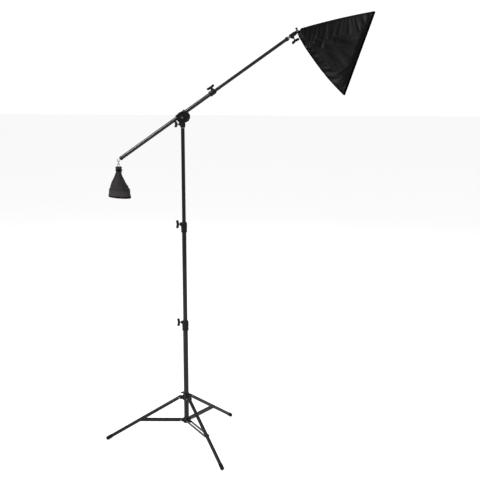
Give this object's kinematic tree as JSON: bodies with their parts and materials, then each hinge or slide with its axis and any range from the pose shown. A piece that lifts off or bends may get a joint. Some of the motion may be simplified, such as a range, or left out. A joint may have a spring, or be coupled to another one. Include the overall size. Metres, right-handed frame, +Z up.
{
  "type": "boom-mounted softbox with light stand",
  "caption": "Rectangular softbox on a telescopic boom, on a folding tripod light stand with a hanging counterweight bag; it lights a subject from above.",
  "frame": {"origin": "on the floor, on the axis of the stand's column", "axes": "+Z up along the column, +X level under the rising half of the boom, towards the softbox"},
  "size_m": [1.6091, 0.8804, 2.5951],
  "materials": {
    "painted_tube": "satin black paint",
    "cast_black": "fine textured black paint on a casting",
    "black_plastic": "moulded, fine texture",
    "bright_steel": "plated",
    "spring_steel": "drawn wire",
    "rubber": "matt",
    "black_nylon": "satin woven nylon, silver inside",
    "black_webbing": "woven tape",
    "white_nylon": "translucent white",
    "bag_cloth": "coarse woven polyester",
    "sand": "dry sand",
    "ceramic": "glazed",
    "opal": "opal white",
    "lamp_base": "rolled cap and white collar"
  },
  "bodies": {
    "stand": {"lower_tube": "painted_tube", "base_hub": "black_plastic", "hub_pins": "bright_steel", "lower_collar": "black_plastic"},
    "lower_screw": {"lower_screw": "black_plastic"},
    "spider": {"spider": "black_plastic", "spider_pins": "bright_steel"},
    "spider_screw": {"spider_screw": "black_plastic"},
    "leg_1": {"leg_1": "painted_tube", "foot_1": "rubber"},
    "leg_2": {"leg_2": "painted_tube", "foot_2": "rubber"},
    "leg_3": {"leg_3": "painted_tube", "foot_3": "rubber"},
    "strut_1": {"strut_1": "painted_tube"},
    "strut_2": {"strut_2": "painted_tube"},
    "strut_3": {"strut_3": "painted_tube"},
    "mid_section": {"mid_tube": "painted_tube", "mid_plug": "black_plastic", "upper_collar": "black_plastic"},
    "upper_screw": {"upper_screw": "black_plastic"},
    "top_section": {"top_tube": "painted_tube", "top_plug": "black_plastic", "top_stud": "bright_steel"},
    "socket": {"column_socket": "cast_black", "tilt_bolt": "bright_steel"},
    "socket_screw": {"socket_screw": "black_plastic"},
    "cradle": {"boom_cradle": "cast_black"},
    "tilt_knob": {"tilt_knob": "black_plastic"},
    "boom_outer": {"boom_outer_tube": "painted_tube", "boom_end_cap": "black_plastic", "boom_eye": "bright_steel", "boom_collar": "black_plastic"},
    "boom_screw": {"boom_screw": "black_plastic"},
    "boom_inner": {"boom_inner_tube": "painted_tube", "boom_plug": "black_plastic", "boom_stud": "bright_steel"},
    "head": {"head_clamp": "cast_black", "head_pin": "bright_steel"},
    "head_screw": {"head_screw": "black_plastic"},
    "head_lever": {"head_lever": "black_plastic"},
    "lamp": {"lamp_holder": "black_plastic", "lamp_socket": "ceramic", "cord_gland": "black_plastic", "rod_ring": "bright_steel", "rods": "spring_steel", "fabric_back": "black_nylon", "fabric_top": "black_nylon", "fabric_bottom": "black_nylon", "fabric_near": "black_nylon", "fabric_far": "black_nylon", "rim_binding": "black_webbing"},
    "switch": {"switch_button": "black_plastic"},
    "bulb": {"bulb_base": "lamp_base", "bulb_glass": "opal"},
    "diffuser": {"diffuser": "white_nylon"},
    "hook": {"bag_hook": "bright_steel"},
    "bag": {"bag_body": "bag_cloth", "bag_loop": "black_webbing", "sand_fill": "sand"}
  },
  "joints": [
    {"name": "spider_slide", "type": "slide", "parent": "stand", "child": "spider", "axis": [0, 0, 1], "range_m": [0, 0.3963]},
    {"name": "leg_1_fold", "type": "hinge", "parent": "spider", "child": "leg_1", "pos_m": [-0.0424, -0.00297, 0.286], "axis": [0.0698, -0.9976, 0], "range_deg": [-0.5, 55.28]},
    {"name": "strut_1_fold", "type": "hinge", "parent": "stand", "child": "strut_1", "pos_m": [-0.03492, -0.00244, 0.139], "axis": [-0.0698, 0.9976, 0], "range_deg": [-0.5, 85.02]},
    {"name": "leg_2_fold", "type": "hinge", "parent": "spider", "child": "leg_2", "pos_m": [0.02377, -0.03523, 0.286], "axis": [0.829, 0.5592, 0], "range_deg": [-0.5, 55.28]},
    {"name": "strut_2_fold", "type": "hinge", "parent": "stand", "child": "strut_2", "pos_m": [0.01957, -0.02902, 0.139], "axis": [-0.829, -0.5592, 0], "range_deg": [-0.5, 85.02]},
    {"name": "leg_3_fold", "type": "hinge", "parent": "spider", "child": "leg_3", "pos_m": [0.01863, 0.0382, 0.286], "axis": [-0.8988, 0.4384, 0], "range_deg": [-0.5, 55.28]},
    {"name": "strut_3_fold", "type": "hinge", "parent": "stand", "child": "strut_3", "pos_m": [0.01534, 0.03146, 0.139], "axis": [0.8988, -0.4384, 0], "range_deg": [-0.5, 85.02]},
    {"name": "spider_screw_turn", "type": "hinge", "parent": "spider", "child": "spider_screw", "pos_m": [0, 0, 0.305], "axis": [-0.5592, 0.829, 0], "range_deg": [0, 360]},
    {"name": "lower_screw_turn", "type": "hinge", "parent": "stand", "child": "lower_screw", "pos_m": [0, 0, 0.766], "axis": [-0.9848, -0.1736, 0], "range_deg": [0, 360]},
    {"name": "mid_slide", "type": "slide", "parent": "stand", "child": "mid_section", "axis": [0, 0, 1], "range_m": [-0.54, 0]},
    {"name": "upper_screw_turn", "type": "hinge", "parent": "mid_section", "child": "upper_screw", "pos_m": [0, 0, 1.372], "axis": [-0.9848, -0.1736, 0], "range_deg": [0, 360]},
    {"name": "top_slide", "type": "slide", "parent": "mid_section", "child": "top_section", "axis": [0, 0, 1], "range_m": [-0.53, 0]},
    {"name": "socket_pan", "type": "hinge", "parent": "top_section", "child": "socket", "pos_m": [0, 0, 1.944], "axis": [0, 0, 1], "range_deg": [-180, 180]},
    {"name": "socket_screw_turn", "type": "hinge", "parent": "socket", "child": "socket_screw", "pos_m": [0, 0, 1.9668], "axis": [-0.9848, -0.1736, 0], "range_deg": [0, 360]},
    {"name": "boom_tilt", "type": "hinge", "parent": "socket", "child": "cradle", "pos_m": [0, 0, 2.006], "axis": [0, -1, 0], "range_deg": [-50, 15]},
    {"name": "tilt_knob_turn", "type": "hinge", "parent": "socket", "child": "tilt_knob", "pos_m": [0, 0, 2.006], "axis": [0, 1, 0], "range_deg": [0, 360]},
    {"name": "boom_slide", "type": "slide", "parent": "cradle", "child": "boom_outer", "axis": [0.8181, 0, 0.575], "range_m": [-0.12, 0.3]},
    {"name": "boom_screw_turn", "type": "hinge", "parent": "boom_outer", "child": "boom_screw", "pos_m": [0.18413, 0.016, 2.15618], "axis": [-0.498, -0.5, 0.7085], "range_deg": [0, 360]},
    {"name": "boom_extend", "type": "slide", "parent": "boom_outer", "child": "boom_inner", "axis": [0.8181, 0, 0.575], "range_m": [-0.4, 0]},
    {"name": "head_swivel", "type": "hinge", "parent": "boom_inner", "child": "head", "pos_m": [0.63084, 0.016, 2.47014], "axis": [0.8181, 0, 0.575], "range_deg": [-180, 180]},
    {"name": "head_screw_turn", "type": "hinge", "parent": "head", "child": "head_screw", "pos_m": [0.63575, 0.016, 2.47359], "axis": [0.575, 0, -0.8181], "range_deg": [0, 360]},
    {"name": "head_lever_turn", "type": "hinge", "parent": "head", "child": "head_lever", "pos_m": [0.66847, 0.016, 2.49659], "axis": [0, -1, 0], "range_deg": [0, 60]},
    {"name": "head_tilt", "type": "hinge", "parent": "head", "child": "lamp", "pos_m": [0.66847, 0.016, 2.49659], "axis": [0, -1, 0], "range_deg": [-3, 40]},
    {"name": "switch_press", "type": "slide", "parent": "lamp", "child": "switch", "axis": [0.9438, 0, -0.3305], "range_m": [0, 0.0012], "stiffness_N_per_m": 400},
    {"name": "bulb_turn", "type": "hinge", "parent": "lamp", "child": "bulb", "pos_m": [0.66847, 0.016, 2.49659], "axis": [0.9438, 0, -0.3305], "range_deg": [0, 360]},
    {"name": "diffuser_pull", "type": "slide", "parent": "lamp", "child": "diffuser", "axis": [0.9438, 0, -0.3305], "range_m": [0, 0.1]},
    {"name": "hook_swing", "type": "hinge", "parent": "boom_outer", "child": "hook", "pos_m": [-0.39431, 0.016, 1.74966], "axis": [0, 1, 0], "range_deg": [-50, 50]},
    {"name": "bag_swing", "type": "hinge", "parent": "hook", "child": "bag", "pos_m": [-0.39431, 0.016, 1.73446], "axis": [1, 0, 0], "range_deg": [-35, 35]}
  ],
  "couplings": [
    {"joint": "leg_1_fold", "follows": "spider_slide", "rad_per_m": 2.4124},
    {"joint": "strut_1_fold", "follows": "spider_slide", "rad_per_m": 3.7221},
    {"joint": "leg_2_fold", "follows": "spider_slide", "rad_per_m": 2.4124},
    {"joint": "strut_2_fold", "follows": "spider_slide", "rad_per_m": 3.7221},
    {"joint": "leg_3_fold", "follows": "spider_slide", "rad_per_m": 2.4124},
    {"joint": "strut_3_fold", "follows": "spider_slide", "rad_per_m": 3.7221}
  ]
}
